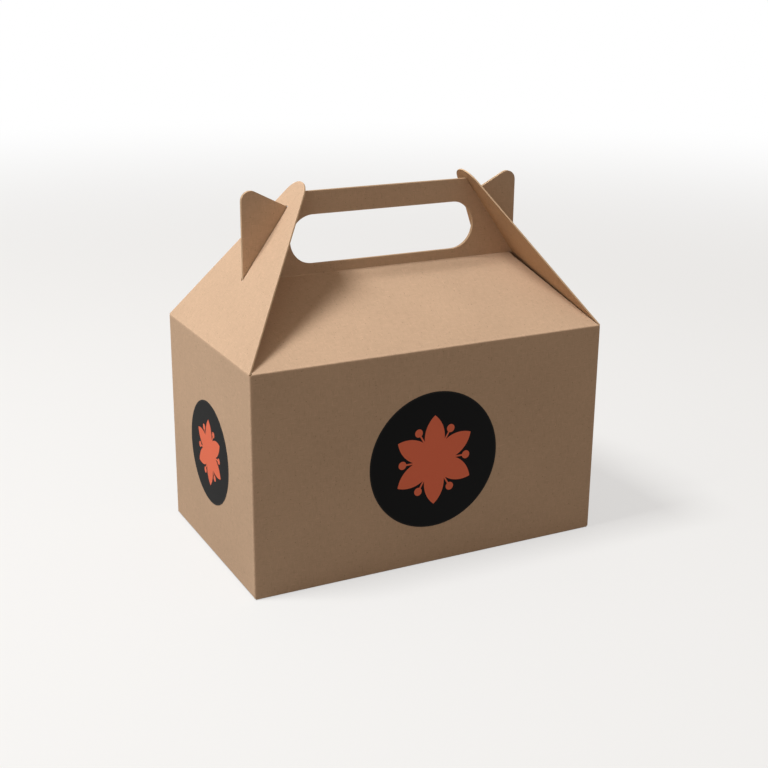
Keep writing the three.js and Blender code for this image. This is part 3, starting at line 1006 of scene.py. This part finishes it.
class GABLEBOX_OT_end_flaps(Operator):
    """Cut the two end flaps and the creases that they hang on"""

    bl_idname = "gablebox.end_flaps"
    bl_label = "End flaps"

    def execute(self, context):
        board = context.scene.gablebox_board
        p = plan(board)
        slot, outline = flap_loops(p, board)
        grid = ruled(slot, outline, ring_shares(FLAP_RIM))
        across, reach = grid[..., 0], grid[..., 1]
        # bow: a sine bump up the flap, flat at the fold and at the slot's end
        rise = np.sin(np.pi * np.clip(reach / p.slot_end, 0, 1)) ** 2
        half = np.maximum(p.half_width * (1 - reach / (board.flap_reach * FLAP_POINT)), 1 * MM)
        lift = board.flap_bow * rise * np.clip(1 - (across / half) ** 2, 0, 1)
        worn = worn_by(np.minimum(distance_to_loop(grid, slot), distance_to_loop(grid, outline)))
        flat = np.stack([across, reach + p.wall_top], -1)
        for side, word in ((1, "right"), (-1, "left")):
            sheet = Sheet()
            points = flap_points(p, across, reach, lift, side)
            sheet.add(points, flat + END_FLAP_PATTERN * side, worn, closed=True, flip=True)
            flap = board_piece(f"end_flap_{word}_panel", sheet, board)
            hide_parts(f"end_flap_{word}")
            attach(flap, f"end_flap_{word}")
            self.crease(p, board, side, word)
        return {"FINISHED"}

    def crease(self, p, board, side, word):
        """Closed strip from the wall's top edge to the flap's lower edge, across the fold."""
        y = graded(-p.inner_y, p.inner_y, PANEL_PITCH)
        below = np.array([p.half_length, p.end_top])
        below_in = below - np.array([board.thickness, 0])
        above = beside_flap(p, board.flap_relief, 0)
        above_in = beside_flap(p, board.flap_relief, -board.thickness)
        ring = np.array([below, above, above_in, below_in])
        points = np.empty((len(ring), len(y), 3))
        points[..., 0] = ring[:, :1]
        points[..., 1] = y
        points[..., 2] = ring[:, 1:]
        if side < 0:
            points = turned_round(points)
        sides = np.concatenate([points, points[:1]])
        across, up = np.broadcast_arrays(y, sides[:, :1, 2])
        sheet = Sheet()
        sheet.add(sides, np.stack([across, up], -1), 1.0)
        for column in (0, -1):
            # the end's four corners as a grid of two rows
            end = points[[[0, 1], [3, 2]], column]
            sheet.add(end, np.zeros((2, 2, 2)), 1.0, flip=column != 0)
        name = f"end_crease_{word}"
        piece = new_piece(name, sheet.mesh(name), board_materials(board)[0])
        low = max(below[1], below_in[1])
        high = min(above[1], above_in[1])
        gap = high - low
        low + 0.3 * gap
        low + 0.7 * gap
        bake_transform(piece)


class GABLEBOX_OT_labels(Operator):
    """Stick the round labels on the front and on the left end"""

    bl_idname = "gablebox.labels"
    bl_label = "Labels"

    def execute(self, context):
        board = context.scene.gablebox_board
        labels = context.scene.gablebox_labels
        p = plan(board)
        for name, wall in (("front_label", "front"), ("end_label", "left")):
            self.label(p, board, labels, name, wall)
        return {"FINISHED"}

    def label(self, p, board, labels, name, wall):
        """A disc in polar coordinates that follows the wall's bow, with a rounded edge."""
        low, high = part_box(name)
        radius = (high.z - low.z) / 2
        middle_z = (high.z + low.z) / 2
        thickness = high.y - low.y if wall == "front" else high.x - low.x
        edge = labels.edge_round
        flat_radius = radius - edge
        rings = np.concatenate([graded(0, flat_radius, LABEL_PITCH),
                                flat_radius + edge * np.sin(np.linspace(0.3, 1, 4) * np.pi / 2)])
        angles = np.linspace(0, 2 * np.pi, LABEL_SPOKES + 1)[:-1]
        ring, angle = np.meshgrid(rings, angles, indexing="ij")
        a, b = ring * np.cos(angle), ring * np.sin(angle)
        outer = np.clip((ring - flat_radius) / edge, 0, 1)
        height = thickness - edge + edge * np.sqrt(1 - outer**2)
        half = p.inner_x if wall == "front" else p.inner_y
        stand = wall_bow(p, board, a, middle_z + b, half)

        def placed(lift):
            """Disc points at a height above the wall."""
            if wall == "front":
                return np.stack([a, -p.half_width - stand - lift, middle_z + b], -1)
            return np.stack([-p.half_length - stand - lift, -a, middle_z + b], -1)

        face, back = placed(height), placed(0 * height)
        flat = np.stack([a, b], -1)
        worn = worn_by(radius - ring) * 0.8
        sheet = Sheet()
        sheet.add(face, flat, worn, closed=True)
        sheet.add(np.stack([face[-1], back[-1]]), np.stack([flat[-1]] * 2), 1.0, closed=True)
        sheet.add(back, flat, worn, closed=True, flip=True)
        piece = new_piece(f"{name}_paper", sheet.mesh(f"{name}_paper"),
                          label_material(labels, radius))
        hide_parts(name, f"{name}_print")
        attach(piece, "carton")


class GABLEBOX_OT_stage(Operator):
    """Set up the floor, backdrop, lamps and camera"""

    bl_idname = "gablebox.stage"
    bl_label = "Stage"

    def execute(self, context):
        stage = context.scene.gablebox_stage
        self.floor(stage)
        self.sky(context, stage)
        self.lamp("Key", stage.key, stage.key_size, stage.key_place, stage.aim)
        self.lamp("Side", stage.side, stage.side_size, stage.side_place, stage.aim)
        camera = bpy.data.cameras.new("Camera")
        camera.lens = stage.lens
        camera.sensor_width = 36
        camera.clip_start = 0.01
        holder = bpy.data.objects.new("Camera", camera)
        holder.location = stage.camera_place
        holder.rotation_euler = stage.camera_turn
        context.scene.collection.objects.link(holder)
        context.scene.camera = holder
        context.scene.view_settings.view_transform = "Standard"
        return {"FINISHED"}

    def floor(self, stage):
        """A wide flat floor just under the box, which fades to white for the camera."""
        line = np.linspace(-stage.floor_reach, stage.floor_reach, 3)
        x, y = np.meshgrid(line, line)
        points = np.stack([x, y, np.full_like(x, -stage.floor_drop)], -1).reshape(-1, 3)
        mesh = bpy.data.meshes.new("Floor")
        mesh.from_pydata(points.tolist(), [], grid_quads(3, 3).tolist())
        material, tree, shader = surface("Floor paper", 0.1)
        shader.inputs["Base Color"].default_value = (*stage.floor, 1)
        shader.inputs["Roughness"].default_value = 0.9
        seen = background_rays(tree)
        place = add_node(tree, "TexCoord", "Object")
        away = add_node(tree, "VectorMath", "Value", {0: place}, operation="LENGTH")
        far = ramp(away, stage.fade_start, stage.fade_end)
        glow = add_node(tree, "Emission", 0, {"Strength": seen * stage.glow})
        lit = add_node(tree, "AddShader", 0, {0: Output(shader.outputs[0]), 1: glow})
        white = add_node(tree, "Emission")
        shown = add_node(tree, "MixShader", 0, {0: seen * far, 1: lit, 2: white})
        put(shown, tree.nodes["Material Output"].inputs["Surface"])
        floor = new_piece("Floor", mesh, material)

    def sky(self, context, stage):
        """Even soft light all round, seen by the camera as white."""
        world = bpy.data.worlds.new("Studio")
        context.scene.world = world
        world.use_nodes = True
        tree = world.node_tree
        background = tree.nodes["Background"]
        seen = background_rays(tree)
        colour = blended(seen, (*stage.sky_colour, 1), (1, 1, 1, 1))
        put(colour, background.inputs["Color"])
        put(seen * (1 - stage.sky) + stage.sky, background.inputs["Strength"])

    def lamp(self, name, watts, size, place, target):
        """A square area lamp at a place, turned to its target."""
        lamp = bpy.data.lights.new(name, "AREA")
        lamp.energy = watts
        lamp.size = size
        holder = bpy.data.objects.new(name, lamp)
        holder.location = place
        aim = Vector(target) - Vector(place)
        holder.rotation_euler = aim.to_track_quat("-Z", "Y").to_euler()
        bpy.context.scene.collection.objects.link(holder)


class GABLEBOX_PT_panel(Panel):
    """Lists the box's sizes, colours and pieces"""

    bl_idname = "GABLEBOX_PT_panel"
    bl_label = "Gable Box"
    bl_space_type = "VIEW_3D"
    bl_region_type = "UI"
    bl_category = "Gable Box"

    def draw(self, context):
        for settings in GROUPS:
            group = getattr(context.scene, settings)
            column = self.layout.column(align=True)
            for name in group.bl_rna.properties.keys():
                if name not in ("rna_type", "name"):
                    column.prop(group, name)
        for operator in OPERATORS:
            self.layout.operator(operator.bl_idname)


OPERATORS = (
    GABLEBOX_OT_carton,
    GABLEBOX_OT_end_flaps,
    GABLEBOX_OT_labels,
    GABLEBOX_OT_stage,
)
GROUPS = {
    "gablebox_board": GableBoxBoard,
    "gablebox_labels": GableBoxLabels,
    "gablebox_stage": GableBoxStage,
}


def register():
    """Registers the classes and gives the scene their settings."""
    for cls in (*GROUPS.values(), *OPERATORS, GABLEBOX_PT_panel):
        bpy.utils.register_class(cls)
    for name, group in GROUPS.items():
        setattr(bpy.types.Scene, name, PointerProperty(type=group))


def unregister():
    """Takes the settings and the classes away again."""
    for name in GROUPS:
        delattr(bpy.types.Scene, name)
    for cls in (GABLEBOX_PT_panel, *reversed(OPERATORS), *reversed(GROUPS.values())):
        bpy.utils.unregister_class(cls)


def main():
    """Builds the box and its stage."""
    register()
    bpy.ops.gablebox.carton()
    bpy.ops.gablebox.end_flaps()
    bpy.ops.gablebox.labels()
    bpy.ops.gablebox.stage()
    bpy.context.view_layer.update()


if __name__ == "__main__":
    main()
